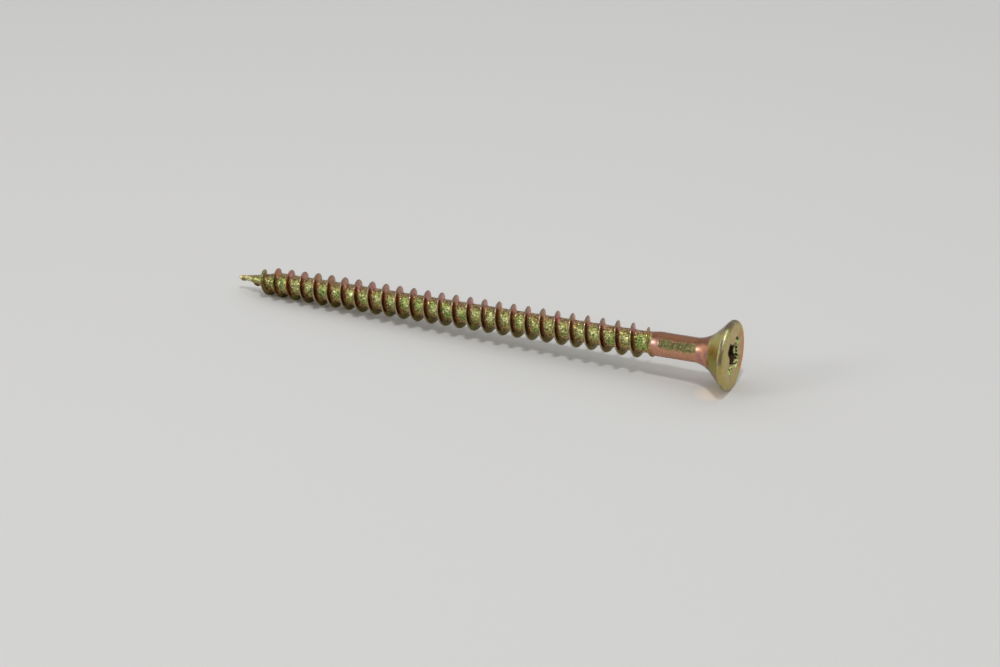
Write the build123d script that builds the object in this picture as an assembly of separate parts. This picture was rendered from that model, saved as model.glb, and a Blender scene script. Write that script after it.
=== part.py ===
"""Self-tapping screw for wood and board, 5 x 80 mm class, cold formed and rolled from one wire.

The real screw is one piece, so the model is one solid in one node, `screw`:
  blank   - slim point, core, thicker plain shank, trumpet neck and countersunk head
  thread  - one right-hand start with 40 degree flanks, from the point up onto the shank
  recess  - cross recess type Z (ISO 4757), pressed into the head's flat top

It is drawn standing on its point along +Z and then laid down as it comes to rest: on the
rim of its head and on the lowest crest near the point. In the finished frame the origin is
on the floor, below the middle of the screw's box, +Z is up, and +X runs along the screw
from the point to the head.
"""

from build123d import *

import os
from math import atan2, ceil, cos, degrees, pi, radians, sin, tan

# ---------------------------------------------------------------- driving dimensions, mm
LENGTH = 80.0  # from the point to the head's flat top

HEAD_DIAMETER = 10.0
HEAD_CONE_ANGLE = 90.0  # included angle of the countersunk seat
RIM_HEIGHT = 0.6  # straight edge above the cone
RIM_CHAMFER = 0.2
NECK_RADIUS = 4.3  # trumpet curve between the shank and the cone

SHANK_DIAMETER = 3.55
SHANK_LENGTH = 11.0  # plain part and head together
SHOULDER_LENGTH = 1.6  # step from the core up to the shank

CORE_DIAMETER = 3.0
SPIKE_DIAMETER = 1.4  # where the slim part of the point ends
SPIKE_LENGTH = 3.6
TIP_DIAMETER = 0.3
POINT_LENGTH = 6.9  # whole point, up to the full core

THREAD_DIAMETER = 4.7
LEAD_DIAMETER = 4.5  # thread at the end of the point, from where it still grows a little
LEAD_LENGTH = 10.0  # stretch on which it reaches the full diameter
PITCH = 2.33
FLANK_ANGLE = 40.0  # included angle of the thread
THREAD_START = 1.8  # bare tip below the thread
THREAD_RISE = 5.5  # from there to the lead diameter
THREAD_FADE = 4.2  # run-out, from the full crest to where it sinks into the shank
THREAD_OVERRUN = 1.5  # how far the run-out climbs past the shoulder
THREAD_SINK = 0.12  # how deep the thread is rooted in the body
THREAD_TURN = 142.5  # degrees around the axis at which the thread starts; 0 faces the floor

RECESS_SPAN = 5.8  # across opposite wings, in the head's top
RECESS_FOOT = 2.7  # across them where their slope ends
RECESS_WING = 1.7  # width of a wing
RECESS_DEPTH = 2.6
RECESS_TIP = 0.5  # cone below the wings
RECESS_CORE = 3.4  # round middle between the wings, in the head's top
RECESS_CORE_FOOT = 2.4
RECESS_TURN = 45.0  # degrees around the axis

POINTS_PER_SPAN = 12  # on the curves that half a turn of a flank is ruled between
CURVE_TOLERANCE = 0.001


# ---------------------------------------------------------------- the blank
def neck_curve(shank_r, head_r, shank_start, cone_top):
    """The curve that leads the shank into the cone, tangent to both."""
    half_cone = radians(HEAD_CONE_ANGLE / 2)
    corner = cone_top - (head_r - shank_r) / tan(half_cone)
    longest = 0.9 * min(corner - shank_start, (cone_top - corner) / cos(half_cone))
    reach = min(NECK_RADIUS * tan(half_cone / 2), longest)
    on_shank = (shank_r, corner - reach)
    on_cone = (shank_r + reach * sin(half_cone), corner + reach * cos(half_cone))
    return Bezier(on_shank, (shank_r, corner), on_cone)


def blank():
    """The formed body: one outline from the point to the head, revolved about the axis."""
    head_r = HEAD_DIAMETER / 2
    core_r = CORE_DIAMETER / 2
    shank_r = SHANK_DIAMETER / 2
    shank_start = LENGTH - SHANK_LENGTH
    cone_top = LENGTH - RIM_HEIGHT
    neck = neck_curve(shank_r, head_r, shank_start, cone_top)
    shaft = Polyline(
        (0, 0),
        (TIP_DIAMETER / 2, 0),
        (SPIKE_DIAMETER / 2, SPIKE_LENGTH),
        (core_r, POINT_LENGTH),
        (core_r, shank_start - SHOULDER_LENGTH),
        (shank_r, shank_start),
        neck @ 0,
    )
    head = Polyline(
        neck @ 1,
        (head_r, cone_top),
        (head_r, LENGTH - RIM_CHAMFER),
        (head_r - RIM_CHAMFER, LENGTH),
        (0, LENGTH),
        (0, 0),
    )
    return revolve(Plane.XZ * make_face(shaft + neck + head), Axis.Z)


# ---------------------------------------------------------------- the thread
def between(z, z_low, z_high, low, high):
    """A value that runs evenly from `low` at z_low to `high` at z_high, and stays there."""
    share = (z - z_low) / (z_high - z_low)
    return low + (high - low) * min(1, max(0, share))


def half_turns():
    """How many half turns the thread has, up to where its run-out ends on the shank."""
    run = LENGTH - SHANK_LENGTH + THREAD_OVERRUN - THREAD_START
    return round(2 * run / PITCH)


def thread_end():
    """Height at which the crest has sunk into the shank."""
    return THREAD_START + half_turns() * PITCH / 2


def root_radius(z):
    """The thread's root: a little inside the body's own radius at height z."""
    core_r, spike_r = CORE_DIAMETER / 2, SPIKE_DIAMETER / 2
    if z < SPIKE_LENGTH:
        body = between(z, 0, SPIKE_LENGTH, TIP_DIAMETER / 2, spike_r)
    else:
        body = between(z, SPIKE_LENGTH, POINT_LENGTH, spike_r, core_r)
    return body * (1 - THREAD_SINK / core_r)


def crest_radius(z):
    """The crest: a quarter sine off the point, a slight lead, the full radius, then a fade."""
    full_start = THREAD_START + THREAD_RISE
    lead = between(z, full_start, full_start + LEAD_LENGTH, LEAD_DIAMETER / 2, THREAD_DIAMETER / 2)
    bare = root_radius(THREAD_START)
    rise = bare + (lead - bare) * sin(between(z, THREAD_START, full_start, 0, pi / 2))
    sunk = SHANK_DIAMETER / 2 - THREAD_SINK
    fade = between(z, thread_end() - THREAD_FADE, thread_end(), THREAD_DIAMETER / 2, sunk)
    return max(min(rise, fade), root_radius(z) + THREAD_SINK / 2)


def thread_section(angle):
    """Root, crest and root again, in the half plane at `angle` radians from the start."""
    z = THREAD_START + PITCH * angle / (2 * pi)
    crest, root = crest_radius(z), root_radius(z)
    spread = (crest - root) * tan(radians(FLANK_ANGLE / 2))
    corners = ((root, z - spread), (crest, z), (root, z + spread))
    return [Vector(radius * cos(angle), radius * sin(angle), height) for radius, height in corners]


def thread():
    """A closed ribbon of three ruled strips, half a turn at a time, flat at both ends."""
    faces = []
    for half_turn in range(half_turns()):
        angles = [pi * (half_turn + k / POINTS_PER_SPAN) for k in range(POINTS_PER_SPAN + 1)]
        lines = [
            Edge.make_spline_approx(list(points), tol=CURVE_TOLERANCE, min_deg=3, max_deg=8)
            for points in zip(*[thread_section(angle) for angle in angles])
        ]
        faces += [Face.make_surface_from_curves(lines[k - 1], lines[k]) for k in range(3)]
    for angle in (0, pi * half_turns()):
        faces.append(make_face(Polyline(*thread_section(angle), close=True)))
    return Solid(Shell(faces))


# ---------------------------------------------------------------- the recess
def recess():
    """Two crossed blades that narrow downwards, a round middle and a conical bottom."""
    top, foot, bottom = RECESS_SPAN / 2, RECESS_FOOT / 2, -RECESS_DEPTH
    side = Polyline((-top, 0), (-foot, bottom), (0, bottom - RECESS_TIP), (foot, bottom), (top, 0), close=True)
    blade = extrude(Plane.XZ * make_face(side), amount=RECESS_WING / 2, both=True)
    hanging = (Align.CENTER, Align.CENTER, Align.MAX)
    middle = Cone(RECESS_CORE_FOOT / 2, RECESS_CORE / 2, RECESS_DEPTH, align=hanging)
    return Pos(Z=LENGTH) * Rot(Z=RECESS_TURN) * (blade + Rot(Z=90) * blade + middle)


# ---------------------------------------------------------------- the screw at rest
def resting_tilt():
    """Tilt, in radians, at which the head's rim and the lowest crest both touch the floor.

    The thread faces the floor once a turn. Each of those crests alone would hold the screw at
    a tilt of its own, and the one that carries it is the one with the smallest.
    """
    cone_top = LENGTH - RIM_HEIGHT
    first_low = THREAD_START + PITCH * (-THREAD_TURN % 360) / 360
    turns = ceil((thread_end() - first_low) / PITCH)
    lows = [first_low + PITCH * turn for turn in range(turns)]
    return min(atan2(HEAD_DIAMETER / 2 - crest_radius(z), cone_top - z) for z in lows)


def laid_down(standing):
    """Lays the standing screw along +X, centred, with its lowest point on the floor."""
    lying = Rot(Y=90 - degrees(resting_tilt())) * standing
    box = lying.bounding_box()
    return Pos(-box.center().X, -box.center().Y, -box.min.Z) * lying


def main():
    threaded = Rot(Z=THREAD_TURN) * (blank() + thread())
    screw = laid_down(threaded - recess())
    os.makedirs("parts", exist_ok=True)
    export_step(screw, "parts/screw.step")


main()
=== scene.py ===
# %% [markdown]
# # A self-tapping screw in yellow chromate
# The screw is one piece of steel wire. Its head and neck were hammered into shape cold, its
# thread was rolled between two grooved plates, and then it was zinc plated and dipped in a
# yellow chromate bath. So it needs one closed mesh and one family of finishes, and the work
# goes into the form of the thread and into the colours of the chromate.
#
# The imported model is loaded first. It says where everything is, and it is never changed.

# %% Load the fixed frame
import math

import bmesh
import bpy
from mathutils import Matrix, Vector, noise


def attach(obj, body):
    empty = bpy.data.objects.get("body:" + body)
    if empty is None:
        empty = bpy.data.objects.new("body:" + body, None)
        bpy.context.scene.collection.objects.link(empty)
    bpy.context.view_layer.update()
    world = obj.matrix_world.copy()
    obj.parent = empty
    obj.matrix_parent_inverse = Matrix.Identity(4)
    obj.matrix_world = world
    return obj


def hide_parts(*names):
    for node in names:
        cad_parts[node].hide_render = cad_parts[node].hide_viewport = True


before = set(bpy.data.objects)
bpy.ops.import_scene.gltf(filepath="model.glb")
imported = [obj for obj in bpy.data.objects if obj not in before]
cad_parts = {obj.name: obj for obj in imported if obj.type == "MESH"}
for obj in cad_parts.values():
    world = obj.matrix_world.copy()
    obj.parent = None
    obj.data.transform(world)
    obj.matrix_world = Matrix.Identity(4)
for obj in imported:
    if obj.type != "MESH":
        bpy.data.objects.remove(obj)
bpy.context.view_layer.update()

# %% [markdown]
# ## The camera
# A long lens from close by looks at the screw from the front and above, and a little from the
# head's side. The camera could be placed by three coordinates, or aimed at an empty by a
# constraint. Here its place is given as a direction and a distance from the middle of the
# screw, because that is how one walks round a thing to find its best side. The slide then
# moves the screw a little to the left and up in the frame, and the roll levels the picture.

# %% Place the camera
MIDDLE_OF_SCREW = Vector((-0.0001, 0.0, 0.0035))
CAMERA_AZIMUTH = math.radians(24.56)
CAMERA_ELEVATION = math.radians(26.08)
CAMERA_ROLL = math.radians(0.065)
CAMERA_DISTANCE = 0.2873
CAMERA_SLIDE = (-0.00389, 0.00287)
LENS = 70.36

camera = bpy.data.objects.new("studio_camera", bpy.data.cameras.new("studio_camera"))
bpy.context.scene.collection.objects.link(camera)
camera.data.lens = LENS
camera.data.sensor_width = 36.0
camera.data.clip_start = 0.01
camera.rotation_euler = (math.pi / 2 - CAMERA_ELEVATION, 0.0, CAMERA_AZIMUTH)
turned = camera.rotation_euler.to_matrix()
back_off = Vector((-CAMERA_SLIDE[0], -CAMERA_SLIDE[1], CAMERA_DISTANCE))
camera.location = MIDDLE_OF_SCREW + turned @ back_off
camera.rotation_euler = (turned @ Matrix.Rotation(CAMERA_ROLL, 3, "Z")).to_euler()
bpy.context.scene.camera = camera
print("camera at, mm:", [round(1000 * c, 1) for c in camera.location])

# %% [markdown]
# ## How the screw lies
# The screw rests on the rim of its head and on a crest near its point, so its axis leans. It
# could be modelled lying down, but Spin, Bisect and the radius of a cone are simple only about
# an upright axis. So everything is made in millimetres on a screw that stands on its point,
# and one matrix at the end turns the finished mesh, scales it to metres and lays it where the
# CAD solid lies.

# %% The matrix that lays the screw down
LENGTH = 80.0
TILT = math.radians(2.197)
POINT_PLACE = Vector((-0.0400597, 0.0, 0.0019525))

lay_down = (
    Matrix.Translation(POINT_PLACE)
    @ Matrix.Rotation(math.pi / 2 - TILT, 4, "Y")
    @ Matrix.Scale(0.001, 4)
)
head_top = lay_down @ Vector((0, 0, LENGTH))
print("head's top middle, mm:", [round(1000 * c, 2) for c in head_top])

# %% [markdown]
# ## The thread
# A rolled thread is one groove profile carried along a helix. A ridge swept along a helix
# could make it, but then the core would be a separate body inside it. Spin turns a small
# profile about the axis and, with an offset at each step, lifts it as it goes. The profile is
# exactly one pitch long, core included, so the end of each turn lands on the start of the
# next, and merging the doubles closes the surface. It has what rolling leaves behind: a narrow
# rounded land on the crest, 40 degree flanks and a small fillet at the root.

# %% One pitch of the thread, as a profile
PITCH = 2.33
CORE_RADIUS = 1.53
CREST_RADIUS = 2.43
THREAD_HEIGHT = CREST_RADIUS - CORE_RADIUS
HALF_LAND = 0.085
half_flank = THREAD_HEIGHT * math.tan(math.radians(20))

half_profile = [  # distance from the crest's middle along the axis, and radius
    (0.0, CREST_RADIUS),
    (0.045, CREST_RADIUS - 0.003),
    (HALF_LAND, CREST_RADIUS - 0.025),
    (0.125, CREST_RADIUS - 0.09),
    (HALF_LAND + 0.25 * half_flank, CREST_RADIUS - 0.25 * THREAD_HEIGHT),
    (HALF_LAND + 0.5 * half_flank, CREST_RADIUS - 0.5 * THREAD_HEIGHT),
    (HALF_LAND + 0.72 * half_flank, CREST_RADIUS - 0.72 * THREAD_HEIGHT),
    (HALF_LAND + 0.90 * half_flank, CORE_RADIUS + 0.085),
    (0.43, CORE_RADIUS + 0.040),
    (0.51, CORE_RADIUS + 0.026),
    (0.62, CORE_RADIUS + 0.012),
    (0.74, CORE_RADIUS + 0.004),
    (0.88, CORE_RADIUS),
    (1.02, CORE_RADIUS),
    (PITCH / 2, CORE_RADIUS),
]
profile = [(-z, r) for z, r in reversed(half_profile)] + half_profile[1:]
print("points in the profile:", len(profile))

# %% Spin one turn, then stack it
THREAD_START = 1.8
THREAD_TURN = math.radians(142.5)
STEPS_PER_TURN = 72
DOUBLINGS = 5  # 1 turn becomes 32, a few more than the screw needs
SPARE_TURNS = 2  # below the start, cut off again later
first_crest = THREAD_START - SPARE_TURNS * PITCH

bm = bmesh.new()
points = [bm.verts.new((r, 0.0, first_crest + z)) for z, r in profile]
chain = [bm.edges.new(pair) for pair in zip(points, points[1:])]
to_start = Matrix.Rotation(THREAD_TURN, 3, "Z")
bmesh.ops.rotate(bm, verts=points, cent=(0, 0, 0), matrix=to_start)
bmesh.ops.spin(
    bm,
    geom=points + chain,
    cent=(0, 0, 0),
    axis=(0, 0, 1),
    dvec=(0, 0, PITCH / STEPS_PER_TURN),
    angle=2 * math.pi,
    steps=STEPS_PER_TURN,
)
for doubling in range(DOUBLINGS):
    copied = bmesh.ops.duplicate(bm, geom=bm.verts[:] + bm.edges[:] + bm.faces[:])
    risen = [v for v in copied["geom"] if isinstance(v, bmesh.types.BMVert)]
    bmesh.ops.translate(bm, verts=risen, vec=(0, 0, PITCH * 2**doubling))
bmesh.ops.remove_doubles(bm, verts=bm.verts, dist=0.004)
print("thread faces:", len(bm.faces), "open edges:", sum(e.is_boundary for e in bm.edges))

# %% [markdown]
# ## The point and the run-out
# So far every turn is the same. On the real screw the wire tapers to a slim point, the thread
# grows off it within a few turns, and at the far end it dies away while the core widens into
# the plain shank. Proportional editing or a lattice could squeeze the ends, but they would
# bend the flanks too. Both changes are changes of radius with height, so two functions say how
# thick the body is and how high the crest stands at each height.

# %% Radius of the body at each height
TIP_RADIUS = 0.23
SPIKE_END = (3.6, 0.76)  # height and radius where the slim part of the point ends
POINT_END = (6.9, CORE_RADIUS)
SHOULDER = (67.4, 69.0)
SHANK_RADIUS = 1.775


def share(z, low, high):
    """How far z is on the way from low to high, from 0 to 1."""
    return min(1.0, max(0.0, (z - low) / (high - low)))


def soft(t):
    """The same way from 0 to 1, but starting and ending gently."""
    return t * t * (3 - 2 * t)


def body_radius(z):
    spike = TIP_RADIUS + (SPIKE_END[1] - TIP_RADIUS) * share(z, 0.0, SPIKE_END[0])
    swell = soft(share(z, SPIKE_END[0] - 0.5, POINT_END[0] + 0.4))
    point = spike + (POINT_END[1] - SPIKE_END[1]) * swell
    return point + (SHANK_RADIUS - CORE_RADIUS) * share(z, *SHOULDER)


print("body radius at 1, 3, 5 and 70 mm:", [round(body_radius(z), 2) for z in (1, 3, 5, 70)])

# %% Height of the crest above it
RISE = (2.4, 6.0)  # heights between which the crest grows off the point
LEAD_RADIUS = 2.185  # its radius there, and it still grows a little up to LEAD_END
LEAD_END = 14.5
FADE = (66.0, 69.7)


def crest_height(z):
    lead = LEAD_RADIUS + (CREST_RADIUS - LEAD_RADIUS) * share(z, RISE[1], LEAD_END)
    rise = math.sin(0.5 * math.pi * share(z, *RISE))
    bare = body_radius(RISE[0])
    crest = bare + (lead - bare) * rise
    fade = 1 - share(z, *FADE)
    return max(0.0, (crest - body_radius(z)) * fade)


crests = [round(body_radius(z) + crest_height(z), 2) for z in (3, 4, 5, 10)]
print("crest radius at 3, 4, 5 and 10 mm:", crests)

# %% [markdown]
# ## Fit the turns to those radii
# Each vertex knows its own turn from its angle and its height, and its place in the profile
# from its distance to that turn's crest. It keeps this place, and only its radius is worked
# out again. Scaling the radius alone would leave a low thread as wide as a full one, so where
# the thread is low it is narrowed too, because its flanks keep their angle.

# %% Move the vertices
FLANK_FOOT = 0.45  # from the crest's middle to where its flank ends
LEAST_WIDTH = 0.2  # share of that width which is left where there is no thread

for v in bm.verts:
    angle = math.atan2(v.co.y, v.co.x)
    height = (v.co.xy.length - CORE_RADIUS) / THREAD_HEIGHT
    helix = first_crest + PITCH * (angle - THREAD_TURN) / (2 * math.pi)
    offset = (v.co.z - helix + PITCH / 2) % PITCH - PITCH / 2
    crest_z = v.co.z - offset
    size = max(LEAST_WIDTH, crest_height(crest_z) / THREAD_HEIGHT)
    foot = FLANK_FOOT * size
    away = abs(offset)
    if away < FLANK_FOOT:
        away *= size
    else:
        away = foot + (away - FLANK_FOOT) * (PITCH / 2 - foot) / (PITCH / 2 - FLANK_FOOT)
    z = crest_z + math.copysign(away, offset)
    radius = body_radius(z) + height * crest_height(crest_z)
    v.co = Vector((radius * math.cos(angle), radius * math.sin(angle), z))
heights = [v.co.z for v in bm.verts]
print("lowest vertex:", round(min(heights), 2), "highest:", round(max(heights), 2))

# %% [markdown]
# ## Rolled, not machined
# Rolling presses the wire into the dies' grooves. The root keeps the dies' grain as shallow
# dimples, and the crest is drawn up a little unevenly. A Displace modifier would push the
# flanks too, so noise moves the chosen vertices by hundredths of a millimetre instead, enough
# to break up the reflections and to show in the mesh itself.

# %% Dimples in the root, a wavering crest
DIMPLE_DEPTH = 0.012
CREST_WAVER = 0.018
ROLLED = ((1.0, 4.0), (66.5, 68.5))  # where the dies' marks set in, and where they end
AXIS = Vector((0.0, 0.0, 1.0))
OTHER_PLACE = Vector((7.0, 0.0, 0.0))

for v in bm.verts:
    out = Vector((v.co.x, v.co.y, 0.0))
    radius = out.length
    if radius < 1e-6:
        continue
    out /= radius
    height = share(radius, body_radius(v.co.z), CREST_RADIUS)
    rolled = share(v.co.z, *ROLLED[0]) * (1 - share(v.co.z, *ROLLED[1]))
    root = (1 - share(height, 0.0, 0.25)) * rolled
    dimple = noise.noise(v.co * 2.6) + 0.6 * noise.noise(v.co * 5.5)
    crest = share(height, 0.75, 1.0) * rolled * share(v.co.z, 7.0, 14.0)
    waver = noise.noise(v.co * 0.9 + OTHER_PLACE) + 0.5 * noise.noise(v.co * 3.1)
    v.co += out * (DIMPLE_DEPTH * root * dimple + CREST_WAVER * crest * waver)
    v.co += AXIS * (0.6 * CREST_WAVER * crest * noise.noise(v.co * 1.4))
print("dimples up to", round(DIMPLE_DEPTH * 1.6, 3), "mm deep")

# %% [markdown]
# ## Trim the ends
# The wire was cut to length before it was rolled. The stacked turns reach past both ends here,
# and a Boolean could cut them, but Bisect does it with one plane and leaves a clean open ring:
# low at the tip, and on the plain shank where the thread has gone.

# %% Cut both ends
TIP_CUT = 0.14
SHANK_CUT = 70.6
for height, keep_above in ((TIP_CUT, True), (SHANK_CUT, False)):
    bmesh.ops.bisect_plane(
        bm,
        geom=bm.verts[:] + bm.edges[:] + bm.faces[:],
        plane_co=(0, 0, height),
        plane_no=(0, 0, 1),
        clear_inner=keep_above,
        clear_outer=not keep_above,
    )
loose = [v for v in bm.verts if not v.link_faces]
bmesh.ops.delete(bm, geom=loose, context="VERTS")
bmesh.ops.remove_doubles(bm, verts=bm.verts, dist=0.0008)


def open_ring(low, high):
    """The open edges whose middles lie between two heights."""
    middle = {e: (e.verts[0].co.z + e.verts[1].co.z) / 2 for e in bm.edges if e.is_boundary}
    return [e for e, z in middle.items() if low < z < high]


print("open edges at the tip:", len(open_ring(0, 1)), "and on the shank:", len(open_ring(70, 71)))

# %% [markdown]
# ## Round the tip
# The point is pinched off, not ground, so it ends in a tiny dome. A sphere could be joined to
# it, but the ring that is already there fits exactly: it is extruded three times, each time
# lower and narrower, and its last ring is merged into one point.

# %% Extrude the tip's ring
DOME = ((0.93, 0.06), (0.75, 0.05), (0.45, 0.025))  # how much narrower, and how much lower

ring = open_ring(0, 1)
for narrower, lower in DOME:
    grown = bmesh.ops.extrude_edge_only(bm, edges=ring)["geom"]
    verts = [v for v in grown if isinstance(v, bmesh.types.BMVert)]
    bmesh.ops.scale(bm, verts=verts, vec=(narrower, narrower, 1.0))
    bmesh.ops.translate(bm, verts=verts, vec=(0, 0, -lower))
    ring = [e for e in grown if isinstance(e, bmesh.types.BMEdge) and e.is_boundary]
last_ring = list(dict.fromkeys(v for e in ring for v in e.verts))
bmesh.ops.pointmerge(bm, verts=last_ring, merge_co=(0, 0, 0))
print("open edges left at the tip:", len(open_ring(-1, 1)))

# %% [markdown]
# ## Shank, neck and head
# These were hammered in round dies, so they are round throughout. Cylinders and cones could be
# stacked, but they would have to be joined again ring by ring. Spinning one outline of straight
# lines gives them all at once, with closed seams.

# %% Spin the outline of the head
HEAD_RADIUS = 4.999
RIM_HEIGHT = 0.72
ROUND_STEPS = 144
SHANK_FOOT = 71.0
NECK_Z = 76.155
CONE_KNEE = (3.72, NECK_Z + 1.92)  # from here on the cone flares a little more
FACE_INNER = 4.35
cone_top = LENGTH - RIM_HEIGHT

outline = [
    (SHANK_RADIUS, SHANK_FOOT),
    (SHANK_RADIUS, NECK_Z),
    CONE_KNEE,
    (HEAD_RADIUS, cone_top),
    (HEAD_RADIUS, LENGTH),
    (FACE_INNER, LENGTH),
]
points = [bm.verts.new((r, 0.0, z)) for r, z in outline]
chain = [bm.edges.new(pair) for pair in zip(points, points[1:])]
bmesh.ops.spin(
    bm,
    geom=points + chain,
    cent=(0, 0, 0),
    axis=(0, 0, 1),
    angle=2 * math.pi,
    steps=ROUND_STEPS,
    use_merge=True,
)
print("points in the outline:", len(outline), "faces so far:", len(bm.faces))

# %% [markdown]
# ## No sharp edge anywhere
# Metal that is hammered flows round its dies' corners, so the screw has a trumpet-shaped neck
# and a soft rim. The curves could be points of the outline, but a bevel on a ring says the
# same with one number: a large one for the inner corner under the head, and small ones for the
# two edges of the rim. The thread's end then meets the shank by bridging their open rings.


# %% Find one ring of the head
def ring_at(radius, z):
    """The edges of one ring of the head."""
    def on_ring(v):
        return abs(v.co.z - z) < 0.002 and abs(v.co.xy.length - radius) < 0.002
    return [e for e in bm.edges if all(on_ring(v) for v in e.verts)]


print("edges in the ring under the head:", len(ring_at(SHANK_RADIUS, NECK_Z)))

# %% Bevel the neck and the rim
NECK_RADIUS = 4.15
ROUNDED_RINGS = (  # radius, height, width of the bevel and its segments
    (SHANK_RADIUS, NECK_Z, NECK_RADIUS * math.tan(math.pi / 8), 14),
    (HEAD_RADIUS, cone_top, 0.18, 4),
    (HEAD_RADIUS, LENGTH, 0.42, 8),
)
for radius, z, offset, segments in ROUNDED_RINGS:
    bmesh.ops.bevel(
        bm,
        geom=ring_at(radius, z),
        offset=offset,
        offset_type="OFFSET",
        segments=segments,
        profile=0.5,
        affect="EDGES",
        material=-1,
    )
print("faces with the head:", len(bm.faces))

# %% Join the head to the threaded part
bmesh.ops.bridge_loops(bm, edges=open_ring(70, SHANK_FOOT + 0.1))
print("open edges left on the shank:", len(open_ring(70, 72)))

# %% [markdown]
# ## The mouth of the cross recess
# A punch presses four wings into the head's top. A Boolean with a punch-shaped body could cut
# them, but it leaves slivers where it meets the round top. Here the mouth starts as a plus
# sign, a three by three grid without its corners that is dissolved to one face. Bevelling its
# vertices rounds the wings' ends and fills the inner corners, as the punch's own edges do.

# %% Draw the mouth as a plus sign
WING_REACH = 2.9
WING_WIDTH = 1.9

before = set(bm.verts)


def faces_among(verts):
    """The faces whose corners are all among the given vertices."""
    chosen = set(verts)
    return [f for f in bm.faces if all(v in chosen for v in f.verts)]


grid = bmesh.ops.create_grid(bm, x_segments=3, y_segments=3, size=1.5)["verts"]
corner_faces = [
    f for f in faces_among(grid) if all(abs(c) > 0.9 for c in f.calc_center_median().xy)
]
bmesh.ops.delete(bm, geom=corner_faces, context="FACES")
grid = [v for v in grid if v.is_valid]
for v in grid:
    reached = [WING_REACH if abs(c) > 1 else WING_WIDTH / 2 for c in v.co.xy]
    v.co = Vector([math.copysign(to, c) for to, c in zip(reached, v.co.xy)] + [LENGTH])
plus_sign = bmesh.ops.dissolve_faces(bm, faces=faces_among(grid))["region"][0]
print("corners of the plus sign:", len(plus_sign.verts))

# %% Round its corners
INNER_ROUNDING = (1.05, 5)  # width of the bevel and its segments
END_ROUNDING = (0.55, 4)

inner = [v for v in plus_sign.verts if v.co.xy.length < WING_WIDTH]
outer = [v for v in plus_sign.verts if v.co.xy.length > WING_WIDTH]
for chosen, (offset, segments) in ((inner, INNER_ROUNDING), (outer, END_ROUNDING)):
    bmesh.ops.bevel(
        bm,
        geom=chosen,
        offset=offset,
        offset_type="OFFSET",
        segments=segments,
        profile=0.5,
        affect="VERTICES",
        material=-1,
    )


def is_mouth(face):
    middle = face.calc_center_median()
    return abs(face.normal.z) > 0.99 and middle.xy.length < 0.1 and abs(middle.z - LENGTH) < 0.01


mouth = next(f for f in bm.faces if is_mouth(f))
print("corners of the mouth:", len(mouth.verts))

# %% [markdown]
# ## Down into the head
# The punch is a little tapered, so that it comes out again, and it ends in a blunt point. One
# deep extrusion would make straight walls. The face is pushed down step by step instead, and
# at each step the wings get shorter and narrower, from a soft lip to the conical bottom.

# %% Push it down
RECESS_STEPS = (  # depth, and the reach and the width of the wings as shares of the mouth's
    (0.05, 0.97, 0.95),
    (0.15, 0.94, 0.91),
    (0.70, 0.84, 0.88),
    (1.35, 0.71, 0.84),
    (2.00, 0.58, 0.80),
    (2.55, 0.47, 0.76),
    (2.70, 0.42, 0.66),
    (2.95, 0.20, 0.30),
)
MIDDLE_REACH = 1.0125 * WING_WIDTH  # what is nearer to the axis shrinks evenly

floor_face = mouth
for step, (depth, reach, width) in enumerate(RECESS_STEPS):
    floor_face = bmesh.ops.extrude_discrete_faces(bm, faces=[floor_face])["faces"][0]
    if step == 0:
        template = [v.co.copy() for v in floor_face.verts]
    for v, start in zip(floor_face.verts, template):
        along, across = (0, 1) if abs(start.x) > abs(start.y) else (1, 0)
        moved = start.copy()
        moved[along] *= reach
        moved[across] *= width
        if start.xy.length < MIDDLE_REACH:
            moved.xy = start.xy * (0.45 * width + 0.55 * (0.4 + 0.6 * reach))
        moved.z = LENGTH - depth
        v.co = moved
bmesh.ops.poke(bm, faces=[floor_face])
print("recess is", RECESS_STEPS[-1][0], "mm deep")

# %% Turn it and join it to the head's top
RECESS_TURN = math.radians(45)

recess_verts = [v for v in bm.verts if v not in before]
to_place = Matrix.Rotation(RECESS_TURN, 3, "Z")
bmesh.ops.rotate(bm, verts=recess_verts, cent=(0, 0, 0), matrix=to_place)
mouth_ring = [
    e for e in bm.edges if e.is_boundary and e.verts[0].co.xy.length < FACE_INNER - 0.1
]
bmesh.ops.bridge_loops(bm, edges=mouth_ring + ring_at(FACE_INNER, LENGTH))
bmesh.ops.recalc_face_normals(bm, faces=bm.faces)
print("open edges:", sum(e.is_boundary for e in bm.edges))
print("volume, mm3:", round(bm.calc_volume(), 1))

# %% [markdown]
# ## One object for one piece
# The real screw can't be taken apart, and its mesh has no parts either. It stands for the
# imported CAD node, rides on the body that carries it, and takes its finish from the slot for
# the plating. Edges sharper than 38 degrees stay crisp, such as the recess's lip, and the
# rest is shaded smooth.

# %% Make the object
bm.transform(lay_down)
mesh = bpy.data.meshes.new("screw_rolled")
bm.to_mesh(mesh)
bm.free()
mesh.shade_smooth()
mesh.set_sharp_from_angle(angle=math.radians(38))
screw = bpy.data.objects.new("screw_rolled", mesh)
bpy.context.scene.collection.objects.link(screw)
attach(screw, "root")
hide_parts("screw")
print("triangles:", sum(len(p.vertices) - 2 for p in mesh.polygons))

# %% [markdown]
# ## Yellow chromate
# Where these colours lie is also set in large part by which way the surface faces, and that part
# is painted light, shade and reflection.
# Zinc is grey. The chromate bath grows a film on it that is as thin as a wave of light, and
# uneven: olive gold where it is thick, salmon and copper where the rolling or the draining
# left it thinner, with green and magenta patches like oil on water. A texture file could hold
# that, or a thin-film setting on the shader could bend the colours with the viewing angle. The
# patches belong to places on the metal, though, and the screw has no good way to unwrap, so
# they are mixed from nodes in object space.
#
# Four short helpers come first, because the material has more than two hundred nodes.

# %% Helpers that add nodes
plating = bpy.data.materials.new("yellow_chromate")
plating.use_nodes = True
tree = plating.node_tree  # the helpers add their nodes to whatever tree has this name


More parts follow.
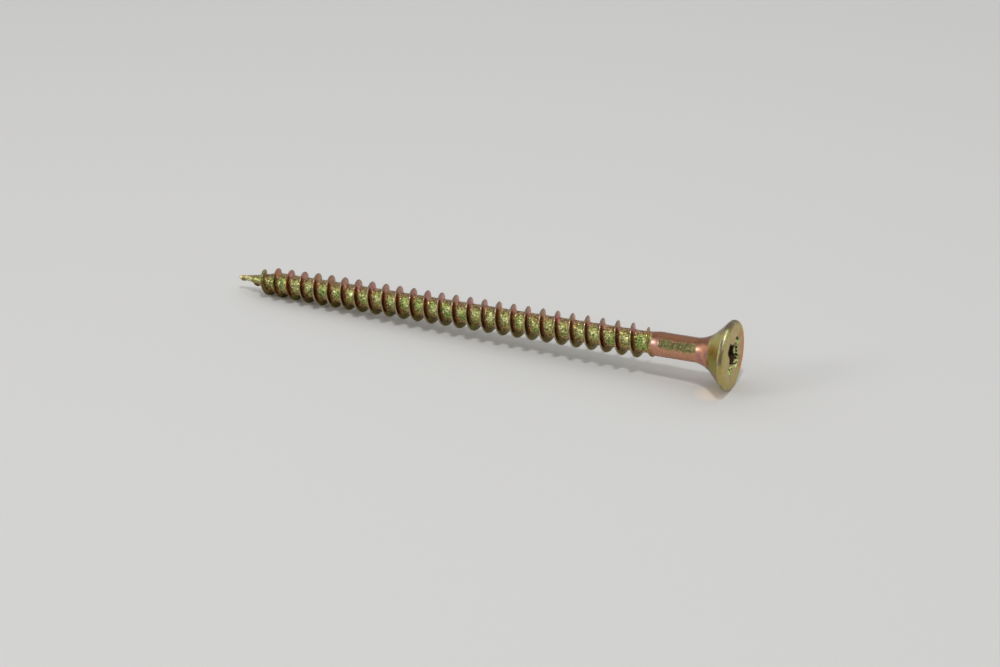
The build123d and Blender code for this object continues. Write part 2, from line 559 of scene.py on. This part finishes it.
def add(kind, inputs=None, **settings):
    """Adds a node, makes its settings, and fills its inputs with values or other outputs."""
    made = tree.nodes.new("ShaderNode" + kind)
    for name, value in settings.items():
        setattr(made, name, value)
    for name, value in (inputs or {}).items():
        if isinstance(value, bpy.types.NodeSocket):
            tree.links.new(value, made.inputs[name])
        else:
            made.inputs[name].default_value = value
    return made


def maths(operation, a, b=0.0, c=0.0):
    return add("Math", {0: a, 1: b, 2: c}, operation=operation).outputs[0]


print("nodes at first:", [node.name for node in tree.nodes])


# %% Helpers for soft steps and for colours
def ramp(value, low, high, to_low=0.0, to_high=1.0):
    """A soft step from to_low to to_high while the value goes from low to high."""
    return add(
        "MapRange",
        {"Value": value, "From Min": low, "From Max": high, "To Min": to_low, "To Max": to_high},
        interpolation_type="SMOOTHSTEP",
    ).outputs["Result"]


def blend(share_of_b, a, b, how="MIX"):
    """Colour b over colour a; a colour is three numbers or the output of another node."""
    mix = add("Mix", {0: share_of_b}, data_type="RGBA", blend_type=how)
    for index, value in ((6, a), (7, b)):
        if isinstance(value, bpy.types.NodeSocket):
            tree.links.new(value, mix.inputs[index])
        else:
            mix.inputs[index].default_value = (*value, 1.0)
    return mix.outputs[2]


print("helpers ready: ramp, blend")

# %% [markdown]
# ## Where on the screw is this point?
# The colours follow the thread, the shank and the head, so the material has to know its height
# on the screw and its distance from the axis. UV coordinates could carry both, but Object
# coordinates need no unwrapping. A Mapping node undoes the lay-down, so that Z runs along the
# screw in millimetres again, and the normal says which way the surface faces.

# %% Coordinates along and around the screw
coordinates = add("TexCoord")
along = add(
    "Mapping",
    {
        "Vector": coordinates.outputs["Object"],
        "Location": POINT_PLACE,
        "Rotation": (0.0, math.pi / 2 - TILT, 0.0),
        "Scale": (0.001, 0.001, 0.001),
    },
    vector_type="TEXTURE",
).outputs["Vector"]
parts = add("SeparateXYZ", {0: along}).outputs
height_z = parts["Z"]
flat = add("CombineXYZ", {"X": parts["X"], "Y": parts["Y"]}).outputs[0]
radius = add("VectorMath", {0: flat}, operation="LENGTH").outputs["Value"]
up = maths("DIVIDE", maths("MULTIPLY", parts["X"], -1.0), radius)  # 1 on top, -1 underneath


def toward(direction):
    """How squarely the surface faces a direction: 1 straight on, 0 edge on."""
    normal = coordinates.outputs["Normal"]
    return add("VectorMath", {0: normal, 1: direction}, operation="DOT_PRODUCT").outputs["Value"]


print("nodes so far:", len(tree.nodes))

# %% [markdown]
# ## Masks
# A mask is a number from 0 to 1 that says where a colour goes. Painting masks by hand would be
# slow for thirty turns. Heights, directions and noise can be cut with a soft step and then
# multiplied, like stencils laid on each other, and then each mask is one line to read.


# %% Helpers for masks
def above(low, high):
    """1 above a height on the screw, in millimetres from the point, with a soft edge."""
    return ramp(height_z, low, high)


def below(low, high):
    return ramp(height_z, high, low)


def both(mask, *others):
    """Where all the masks are 1."""
    for other in others:
        mask = maths("MULTIPLY", mask, other)
    return mask


print("helpers ready: above, below, both")


# %% Helpers for patches
def patches(size, seed, detail=2.0):
    """Soft noise from 0 to 1 with patches of about the given size in millimetres."""
    place = add("Mapping", {"Vector": along, "Location": (seed, 2 * seed, 3 * seed)}).outputs[0]
    scale = {"Vector": place, "Scale": 1.0 / size, "Detail": detail, "Roughness": 0.55}
    return add("TexNoise", scale).outputs["Fac"]


def spots(size, seed, low, high, detail=2.0):
    """Patches with an edge: the noise below `low` is bare, above `high` it is covered."""
    return ramp(patches(size, seed, detail), low, high)


def ragged(value, size, seed, amount):
    """The same value made uneven by noise, by up to half the amount each way."""
    return maths("ADD", value, maths("MULTIPLY_ADD", patches(size, seed), amount, -amount / 2))


print("helpers ready: patches, spots, ragged")

# %% The first masks
THREAD_END = (67.9, 68.3)  # heights between which one zone gives way to the next, mm
COLLAR_START = (68.0, 68.3)
COLLAR_END = (69.35, 69.45)

in_thread = below(*THREAD_END)
collar = both(above(*COLLAR_START), below(*COLLAR_END))  # a bare ring just below the shank
tilted = ragged(up, 2.0, 47.0, 0.4)
print("nodes with the first masks:", len(tree.nodes))

# %% [markdown]
# ## The core and the shank
# Between the turns, and on the strip of the shank that faces the front, the metal is olive;
# where the surface turns away it is salmon on the shank and bronze and amber in the core, with a
# darker rust tone on the shank's top. This split by direction is a painted reflection: the olive
# stands for the dim front of the room, on top of the room's own reflection, and the salmon for
# the pale floor and walls. Fresnel would tie this to the eye, and it would slide when the camera
# moves. A fixed direction ties it to the metal: `slope` is 1 where the surface faces that way.
# Green and copper patches are laid over it, and a strip of painted highlight, broken into spots,
# runs along the core's front.

# %% How squarely each point faces the front
SHANK_FRONT = (0.0, -0.891, 0.454)
CORE_FRONT = (0.0, -0.951, 0.309)

shank_slope = maths("ABSOLUTE", toward(SHANK_FRONT))
core_slope = maths("ABSOLUTE", toward(CORE_FRONT))
slope = maths("MULTIPLY_ADD", maths("SUBTRACT", core_slope, shank_slope), in_thread, shank_slope)
slope = ragged(slope, 1.0, 11.0, 0.16)
slope = maths("MULTIPLY_ADD", in_thread, 0.15, slope)  # widens the olive in the thread
slope = maths("ADD", slope, ramp(height_z, 69.3, 74.8, -0.05, -0.02))
print("nodes with the slope:", len(tree.nodes))

# %% Colours of the core and the shank
OLIVE = (0.36, 0.335, 0.12)
PAINTED_GLEAM = (0.60, 0.62, 0.27)
SHANK_OLIVE = (0.30, 0.27, 0.115)
AMBER = (0.42, 0.27, 0.11)
BRONZE = (0.26, 0.18, 0.085)
SALMON = (0.58, 0.29, 0.18)
RUST = (0.25, 0.115, 0.065)
PINK = (0.70, 0.40, 0.32)
GLEAM_FRONT = (-0.03, -0.93, 0.37)

# painted reflection by direction: salmon, rust, bronze and amber where the surface turns away,
# olive where it faces the front
shank_edges = blend(ramp(up, 0.60, 0.85), SALMON, RUST)
core_edges = blend(ramp(up, 0.2, 0.0), BRONZE, AMBER)
# painted highlight: a pale strip along the core's front, broken into spots
gleam_spots = both(ramp(toward(GLEAM_FRONT), 0.93, 0.985), spots(0.55, 77.0, 0.38, 0.56))
middle = blend(in_thread, SHANK_OLIVE, blend(gleam_spots, OLIVE, PAINTED_GLEAM))
middle = blend(collar, middle, PINK)
wire = blend(ramp(slope, 0.87, 0.93), blend(in_thread, shank_edges, core_edges), middle)
print("nodes with the core and the shank:", len(tree.nodes))

# %% Green and copper patches over them
GREEN = (0.25, 0.33, 0.09)
COPPER = (0.20, 0.09, 0.03)

green_spots = both(spots(1.3, 3.0, 0.50, 0.62, 3.0), ramp(slope, 0.7, 0.9))
green_spots = both(green_spots, maths("SUBTRACT", 1.0, collar))
wire = blend(both(green_spots, ramp(height_z, 68.6, 67.8, 0.2, 0.9)), wire, GREEN)
wire = blend(both(spots(1.5, 23.0, 0.58, 0.70, 3.0), 0.7, in_thread), wire, COPPER)
print("nodes with the patches:", len(tree.nodes))

# %% [markdown]
# ## The neck and the tip
# On the neck the film is thin: salmon with mauve clouds, and rusty on top. The tip is worn to
# a straw yellow. They could have materials of their own, but a border between two materials is
# a hard line, and here one colour runs into the next.

# %% Colours of the neck and the tip
MAUVE = (0.46, 0.20, 0.20)
STRAW = (0.56, 0.48, 0.24)
NECK_START = (74.6, 75.1)
TIP_END = (1.8, 2.8)

neck = blend(spots(1.5, 31.0, 0.50, 0.62), SALMON, MAUVE)
neck = blend(ramp(ragged(up, 1.2, 61.0, 0.4), 0.62, 0.85), neck, RUST)
wire = blend(above(*NECK_START), wire, neck)
wire = blend(below(*TIP_END), wire, STRAW)
print("nodes with the neck and the tip:", len(tree.nodes))

# %% [markdown]
# ## The flanks and the crests
# The flanks are the smoothest faces, and their colour is painted by the way they face: rosy
# where they look up, painted light; mahogany and copper where they look sideways, a painted
# reflection of the dark front of the room; brown and green where they look down, painted shade.
# On the last turn the sides are a lighter green and the crest a pale lime, a painted highlight.
# The other crests are scraped to a pale tan line. Face by face materials would need a selection
# for each turn, while the distance from the axis finds all the flanks at once.

# %% Colours of the flanks
ROSE = (0.44, 0.20, 0.16)
CLAY = (0.38, 0.18, 0.095)
MAGENTA = (0.45, 0.12, 0.15)
DARK_OLIVE = (0.17, 0.145, 0.04)
MAHOGANY = (0.24, 0.055, 0.03)
LAST_TURN_GREEN = (0.50, 0.52, 0.17)
FIRST_TURN_OLIVE = (0.25, 0.23, 0.08)
UNDER_BROWN = (0.20, 0.15, 0.05)
UNDER_GREEN = (0.25, 0.26, 0.08)
FIRST_TURNS_END = (4.8, 5.6)
LAST_TURN_START = (65.8, 66.8)

# painted light on the flanks' upper side, in rosy patches
upper = blend(spots(3.5, 41.0, 0.42, 0.58), ROSE, CLAY)
upper = blend(spots(2.5, 71.0, 0.56, 0.68, 3.0), upper, MAGENTA)
# painted reflection of the dark front of the room on the flanks' sides
side = blend(spots(3.0, 57.0, 0.54, 0.66, 3.0), COPPER, DARK_OLIVE)
side = blend(spots(1.2, 91.0, 0.56, 0.64), side, MAHOGANY)
# lighter green on the last turn's sides, part of its painted highlight
side = blend(above(*LAST_TURN_START), side, LAST_TURN_GREEN)
# painted shade on the flanks' undersides
under = blend(spots(2.8, 63.0, 0.52, 0.66, 3.0), UNDER_BROWN, UNDER_GREEN)
flank = blend(ramp(tilted, 0.78, 0.98), side, upper)
flank = blend(below(*FIRST_TURNS_END), flank, FIRST_TURN_OLIVE)
flank = blend(ramp(tilted, -0.25, -0.65), flank, under)
print("nodes with the flanks:", len(tree.nodes))

# %% Lay them on the flanks
RUN_OUT = (67.0, 68.0)  # here the core is already thicker
RUN_OUT_END = (69.6, 70.0)

on_flank = both(ramp(radius, CORE_RADIUS, CORE_RADIUS + 0.07), below(*RUN_OUT))
on_last_flank = both(ramp(radius, 1.80, 1.86), below(*RUN_OUT_END))
body = blend(maths("MAXIMUM", on_flank, on_last_flank), wire, flank)
print("nodes with the flanks laid on:", len(tree.nodes))

# %% Colours of the crests
TAN = (0.42, 0.35, 0.22)
SMOKE = (0.20, 0.165, 0.115)
LAST_CREST_HIGHLIGHT = (0.90, 0.92, 0.45)
LAST_HIGHLIGHT_START = (66.0, 66.8)

crest = blend(ramp(tilted, 0.75, 0.95), TAN, SMOKE)
# painted highlight on the last turn's crest
crest = blend(above(*LAST_HIGHLIGHT_START), crest, LAST_CREST_HIGHLIGHT)
on_crest = both(ramp(radius, CREST_RADIUS - 0.13, CREST_RADIUS - 0.07), below(*RUN_OUT_END))
body = blend(both(on_crest, 0.85), body, crest)
print("nodes with the crests:", len(tree.nodes))

# %% [markdown]
# ## The cone and the rim
# The bath collects under the head, so the cone has the deepest colours: gold where it looks
# up, orange stains in front and olive below. Its border with the neck is ragged, because the
# fluid crept up there. The rim is narrow, but it is what one sees first: a dark band, a thin
# light line at each of its edges and a brown top. The band is a painted reflection of the dim
# front of the room and the top is painted shade. The lines are painted highlights, since the
# lamps alone would make them too weak, and all of them are laid on by height and by direction.

# %% Colours of the cone
CONE_GOLD = (0.36, 0.32, 0.075)
ORANGE = (0.38, 0.15, 0.02)
GOLD = (0.46, 0.39, 0.12)
CONE_OLIVE = (0.30, 0.245, 0.055)
CONE_START = (76.75, 76.95)

cone = blend(spots(1.7, 83.0, 0.46, 0.60), CONE_GOLD, ORANGE)
cone = blend(ramp(tilted, 0.45, 0.80), cone, GOLD)
cone = blend(ramp(tilted, -0.15, -0.55), cone, CONE_OLIVE)
cone = blend(ramp(tilted, 0.80, 0.98, 0.0, 0.7), cone, SMOKE)
body = blend(ramp(ragged(height_z, 1.5, 19.0, 0.5), *CONE_START), body, cone)
print("nodes with the cone:", len(tree.nodes))

# %% Colours of the rim
RIM_FRONT_REFLECTION = (0.20, 0.14, 0.075)
RIM_TOP_SHADE = (0.14, 0.11, 0.08)
UPPER_EDGE_HIGHLIGHT = (0.50, 0.52, 0.30)
LOWER_EDGE_HIGHLIGHT = (0.62, 0.58, 0.36)
RIM_START = (79.06, 79.12)
LOWER_HIGHLIGHT_END = (79.25, 79.30)
UPPER_HIGHLIGHT_START = (79.52, 79.62)

rim = blend(spots(0.9, 15.0, 0.45, 0.58), GOLD, TAN)
# painted reflection of the dim front of the room: a dark band across the rim's front
rim_front_reflection = both(ramp(tilted, 0.85, 0.74), ramp(tilted, 0.10, 0.30), 0.8)
rim = blend(rim_front_reflection, rim, RIM_FRONT_REFLECTION)
# painted shade on the rim's top
rim = blend(ramp(tilted, 0.86, 1.0, 0.0, 0.9), rim, RIM_TOP_SHADE)
# painted highlights along the rim's upper and lower edges
upper_highlight = both(ramp(tilted, 0.35, 0.6), ramp(tilted, 0.95, 0.85), above(*UPPER_HIGHLIGHT_START))
rim = blend(upper_highlight, rim, UPPER_EDGE_HIGHLIGHT)
lower_highlight = both(ramp(tilted, 0.9, 0.8), ramp(tilted, 0.0, 0.35), below(*LOWER_HIGHLIGHT_END))
rim = blend(lower_highlight, rim, LOWER_EDGE_HIGHLIGHT)
body = blend(above(*RIM_START), body, rim)
print("nodes with the rim:", len(tree.nodes))

# %% [markdown]
# ## The head's top
# The flat top is gold and tan with a green tinge, and it turns salmon towards one side and
# downwards. Noise alone would spread the salmon evenly, so the height and the side are added
# to the noise before it is cut, which pulls the patches over to where they belong.

# %% Colours of the head's top
FACE_GOLD = (0.48, 0.41, 0.14)
FACE_TAN = (0.56, 0.40, 0.15)
FACE_SALMON = (0.56, 0.28, 0.13)
FACE_GREEN = (0.44, 0.43, 0.13)
TOP_SHADE = (0.15, 0.115, 0.085)
FACE_START = (79.75, 79.93)

rosy = maths("MULTIPLY_ADD", parts["Y"], 0.03, patches(1.6, 5.0, 3.0))
rosy = maths("MULTIPLY_ADD", parts["X"], 0.025, rosy)
face = blend(spots(1.3, 7.0, 0.42, 0.60, 3.0), FACE_GOLD, FACE_TAN)
face = blend(ramp(rosy, 0.54, 0.64), face, FACE_SALMON)
face = blend(both(spots(1.1, 13.0, 0.54, 0.64, 3.0), 0.8), face, FACE_GREEN)
body = blend(above(*FACE_START), body, face)
top_edge = both(ramp(radius, 4.3, 4.7), above(78.9, 79.3), ramp(tilted, 0.86, 0.98, 0.0, 0.6))
body = blend(top_edge, body, TOP_SHADE)
print("nodes with the head's top:", len(tree.nodes))

# %% [markdown]
# ## Inside the recess
# The punch leaves rough walls. Inside, the colour is painted shade and light: umber in shade,
# and a lighter olive in the lower wing, where the light reaches in, with painted glints of pale
# green there. A second material on the recess's faces would do as well. A funnel-shaped mask is
# used instead, like all the others, and the glints are kept to the walls that face the light,
# deeper down in the lower wing.

# %% Colours of the recess
UMBER = (0.10, 0.055, 0.035)
RECESS_OLIVE = (0.30, 0.31, 0.08)
PALE_GREEN = (0.90, 1.0, 0.46)
RECESS_TAPER = 0.42  # how much narrower the funnel gets in a millimetre of depth
INTO_RECESS = (0.0, -0.707, 0.707)
RECESS_BOTTOM = (76.2, 76.4)
RECESS_LIP = (79.92, 79.97)

depth_below = maths("SUBTRACT", LENGTH, height_z)
funnel = maths("MULTIPLY_ADD", depth_below, RECESS_TAPER, radius)
in_recess = both(ramp(funnel, 3.20, 3.08), below(*RECESS_LIP), above(*RECESS_BOTTOM))
lower_wing = maths("MULTIPLY", maths("SUBTRACT", parts["X"], parts["Y"]), 0.707)
lit_depth = ramp(lower_wing, 0.3, 1.6, 0.58, 1.6)
lit = ramp(maths("SUBTRACT", depth_below, lit_depth), 0.08, -0.08)
# painted glints of pale green where the light reaches in
painted_glints = both(spots(0.32, 27.0, 0.40, 0.52), lit, ramp(toward(INTO_RECESS), 0.1, 0.4))
# painted shade: umber in the recess, a lighter olive in the lower wing where the light reaches
hollow = blend(ramp(lower_wing, 0.5, 1.2), UMBER, RECESS_OLIVE)
hollow = blend(painted_glints, hollow, PALE_GREEN)
colour = blend(in_recess, body, hollow)
print("nodes with the recess:", len(tree.nodes))

# %% [markdown]
# ## Speckle
# Zinc plating is a layer of crystals, and in the core and on the shank's olive strip they are
# coarse enough to see as light and dark grains. A bump alone gives the sparkle but not the
# colour's grain. So fine noise also multiplies the colour: fully in the core, by about half on
# the strip, and only a little on the polished rest.

# %% Multiply the colour by fine noise
STRIP_END = (74.7, 75.1)

in_root = both(ramp(radius, 1.85, 1.65), in_thread)
on_strip = both(above(*COLLAR_END), below(*STRIP_END), ramp(slope, 0.84, 0.92))
speckle = ramp(patches(0.27, 53.0, 1.0), 0.36, 0.64, 0.50, 1.60)
speckled = maths("MULTIPLY_ADD", in_root, 0.85, maths("MULTIPLY_ADD", on_strip, 0.45, 0.15))
strength = maths("MULTIPLY_ADD", maths("SUBTRACT", speckle, 1.0), speckled, 1.0)
grey = add("CombineXYZ", {"X": strength, "Y": strength, "Z": strength}).outputs[0]
colour = blend(1.0, colour, grey, "MULTIPLY")
print("nodes with the speckle:", len(tree.nodes))

# %% [markdown]
# ## Grain
# The same crystals are rough to the touch in the core and in the recess, where neither the
# dies nor fingers polish them. They are a few hundredths of a millimetre, far smaller than the
# mesh's faces, so a bump from two sizes of noise stands in for real displacement. Its height
# is in metres, and the polished parts get only a trace of it.

# %% Bump, deeper where the surface is rough
GRAIN_DEPTHS = ((in_root, 0.00015), (on_strip, 0.00003), (in_recess, 0.00020))
POLISHED_DEPTH = 0.000008

grain = maths("MULTIPLY_ADD", patches(0.16, 29.0, 1.0), 0.25, patches(0.42, 17.0))
depth = POLISHED_DEPTH
for place, more in GRAIN_DEPTHS:
    depth = maths("MULTIPLY_ADD", place, more, depth)
bump_inputs = {"Height": maths("MULTIPLY", grain, depth), "Distance": 1.0, "Strength": 1.0}
bump = add("Bump", bump_inputs)
print("nodes with the grain:", len(tree.nodes))

# %% [markdown]
# ## Gloss
# The film is glossy, but it isn't glass: a lamp's reflection has a soft edge, softest on the
# rim and in the recess. One roughness for all would look like paint. Cloudy noise gives the
# base value, and each rougher place adds its share. The metal itself is fully metallic, and
# its colour is the film's.

# %% Roughness
DULL_CONE_START = (75.9, 76.9)
DULL_RIM_START = (78.9, 79.15)

on_rim = above(*DULL_RIM_START)
on_cone = both(above(*DULL_CONE_START), maths("SUBTRACT", 1.0, on_rim))
DULLER_PLACES = (
    (on_rim, 0.14),
    (in_root, 0.10),
    (in_recess, 0.18),
    (collar, 0.08),
    (on_cone, 0.12),
)
dull = ramp(patches(0.9, 37.0, 3.0), 0.35, 0.65, 0.20, 0.32)
for place, more in DULLER_PLACES:
    dull = maths("MULTIPLY_ADD", place, more, dull)
print("nodes with the roughness:", len(tree.nodes))

# %% Colour, gloss and grain into the shader
shader = tree.nodes["Principled BSDF"]
shader.inputs["Metallic"].default_value = 1.0
tree.links.new(colour, shader.inputs["Base Color"])
tree.links.new(dull, shader.inputs["Roughness"])
tree.links.new(bump.outputs["Normal"], shader.inputs["Normal"])
mesh.materials.append(plating)
print("nodes in the material:", len(tree.nodes))

# %% [markdown]
# ## The table
# The screw lies on a sheet of pale, matt paper. The metal mirrors the lamps onto it and leaves
# a faint warm glow by the head. The renderer could find that glow by caustics, with a great
# many samples. It is quicker to tint the paper there, by the distance from the spot.

# %% Floor
PAPER = (0.69, 0.687, 0.675)
WARM_PAPER = (0.88, 0.79, 0.71)
GLOW_PLACE = (0.0378, -0.0030, 0.0)
GLOW_RADII = (0.0030, 0.0008)  # where the glow starts, and where it is full
HALF_WIDTH = 1.5

floor_bm = bmesh.new()
bmesh.ops.create_grid(floor_bm, x_segments=1, y_segments=1, size=HALF_WIDTH)
floor_mesh = bpy.data.meshes.new("paper_floor")
floor_bm.to_mesh(floor_mesh)
floor_bm.free()
floor = bpy.data.objects.new("paper_floor", floor_mesh)
bpy.context.scene.collection.objects.link(floor)

paper = bpy.data.materials.new("pale_paper")
paper.use_nodes = True
tree = paper.node_tree
place = add("TexCoord").outputs["Object"]
away = add("VectorMath", {0: place, 1: GLOW_PLACE}, operation="DISTANCE").outputs["Value"]
shader = tree.nodes["Principled BSDF"]
tree.links.new(blend(ramp(away, *GLOW_RADII), PAPER, WARM_PAPER), shader.inputs["Base Color"])
shader.inputs["Roughness"].default_value = 0.9
shader.inputs["Specular IOR Level"].default_value = 0.2
floor_mesh.materials.append(paper)
print("floor is", 2 * HALF_WIDTH, "m wide")

# %% [markdown]
# ## The lamps
# Three square lamps, as in a simple table-top studio: a small one overhead that draws the
# shadow, a wide one behind that softens it, and one from the left that lights the flanks and
# puts a point of light on the neck. Point lamps would be simpler, but on metal the lamp's own
# shape is what one sees, and a softbox is a square.

# %% Lamps
SOFTBOXES = (  # name, direction from the screw, distance and width in metres, watts
    ("ceiling_lamp", (0.125, -0.22, 1.0), 0.5, 0.065, 0.58),
    ("wall_lamp", (0.0, 0.50, 0.90), 0.5, 0.45, 0.18),
    ("side_lamp", (-0.65, -0.62, 0.44), 0.6, 0.15, 0.52),
)
for name, direction, distance, width, power in SOFTBOXES:
    light = bpy.data.lights.new(name, "AREA")
    light.shape = "SQUARE"
    light.size = width
    light.energy = power
    lamp = bpy.data.objects.new(name, light)
    bpy.context.scene.collection.objects.link(lamp)
    lamp.location = Vector(direction).normalized() * distance
    lamp.rotation_euler = lamp.location.to_track_quat("Z", "Y").to_euler()

# %% [markdown]
# ## The room
# Polished metal shows its surroundings more than its lamps. An image of a studio could wrap
# the scene, but a few plain tones do the same: a pale room, a dimmer front where the camera
# stands, which adds its own share to the dark bands painted on the flanks and the rim, and a
# brighter wall on the left.

# %% Room
PALE_ROOM = (0.66, 0.66, 0.655)
DIM_FRONT = (0.36, 0.36, 0.36)
BRIGHT_LEFT = (0.68, 0.68, 0.68)

world = bpy.data.worlds.new("room")
bpy.context.scene.world = world
world.use_nodes = True
tree = world.node_tree
sky = add("TexCoord").outputs["Generated"]


def seen_to(direction):
    """How far one looks in a direction: 1 straight at it, 0 or less away from it."""
    return add("VectorMath", {0: sky, 1: direction}, operation="DOT_PRODUCT").outputs["Value"]


room = blend(ramp(seen_to((-0.10, -0.99, 0.0)), 0.05, 0.5), PALE_ROOM, DIM_FRONT)
room = blend(ramp(seen_to((-1.0, 0.0, 0.0)), 0.42, 0.65), room, BRIGHT_LEFT)
tree.links.new(room, tree.nodes["Background"].inputs["Color"])
bpy.context.scene.view_settings.view_transform = "Standard"
print("nodes in the room:", len(tree.nodes))
